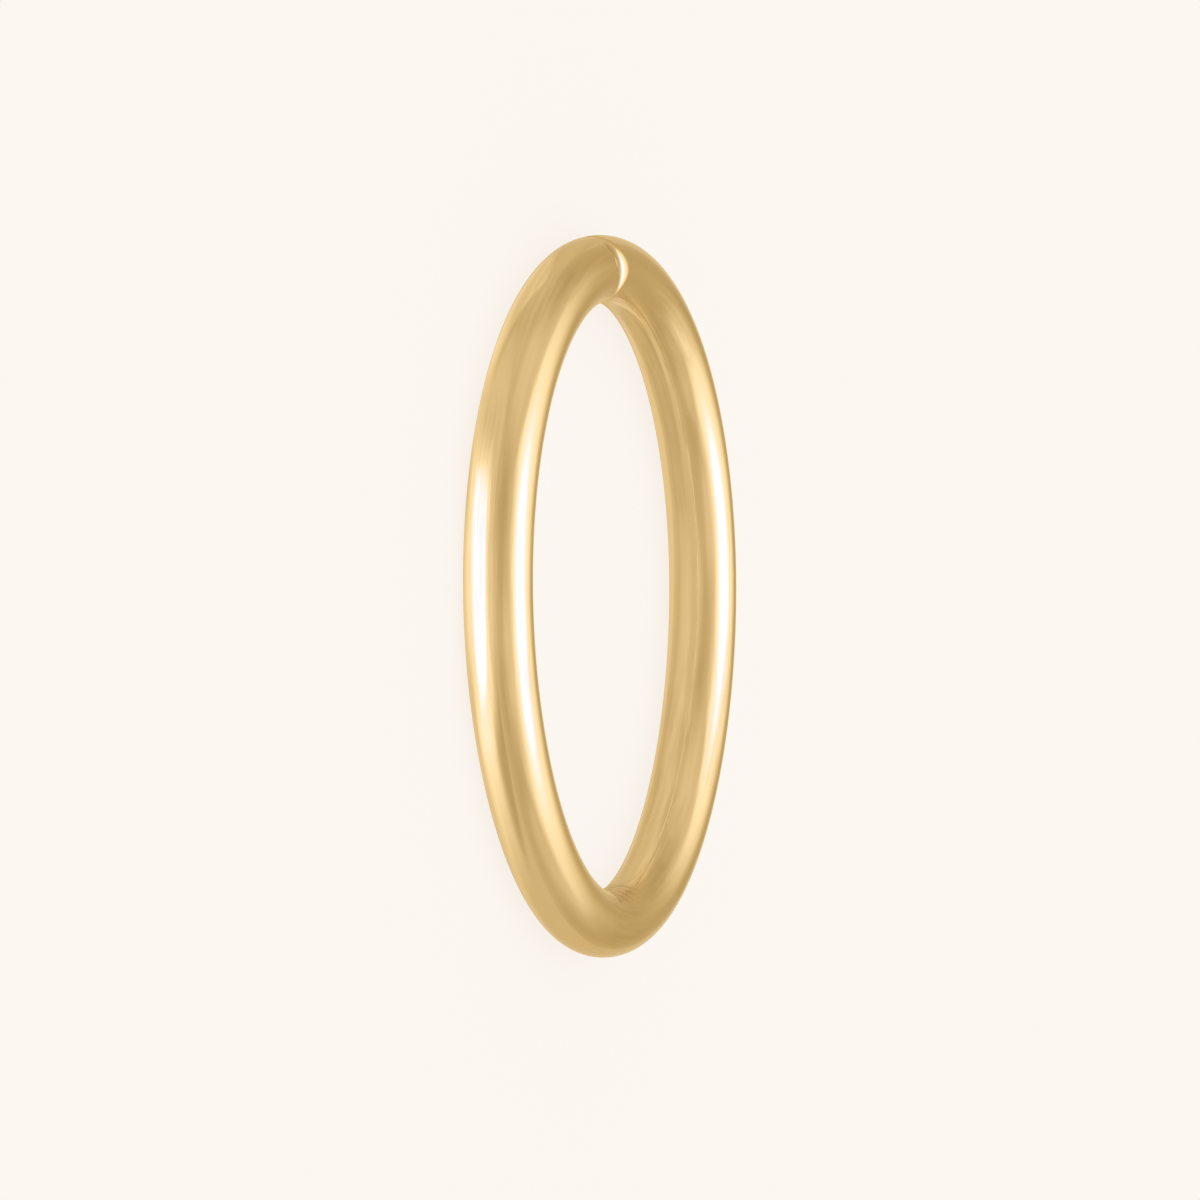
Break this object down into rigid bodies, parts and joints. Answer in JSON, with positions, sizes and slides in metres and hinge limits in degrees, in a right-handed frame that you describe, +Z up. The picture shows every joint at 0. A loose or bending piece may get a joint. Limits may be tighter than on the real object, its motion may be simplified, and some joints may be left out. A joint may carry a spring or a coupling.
{
  "type": "seamless hoop earring",
  "caption": "Plain round-wire hoop for a piercing, closed by its two rounded ends meeting at a fine joint.",
  "frame": {"origin": "under the middle of the ring, on the surface that the hoop lies on", "axes": "+Z up, along the ring's own axis; the joint of the two wire ends is on -X; the hoop is symmetric about the XZ plane"},
  "size_m": [0.0124, 0.0124, 0.0012],
  "materials": {
    "polished_gold": "mirror-polished yellow gold of about 14 carat"
  },
  "bodies": {
    "root": {"hoop": "polished_gold"}
  },
  "joints": []
}
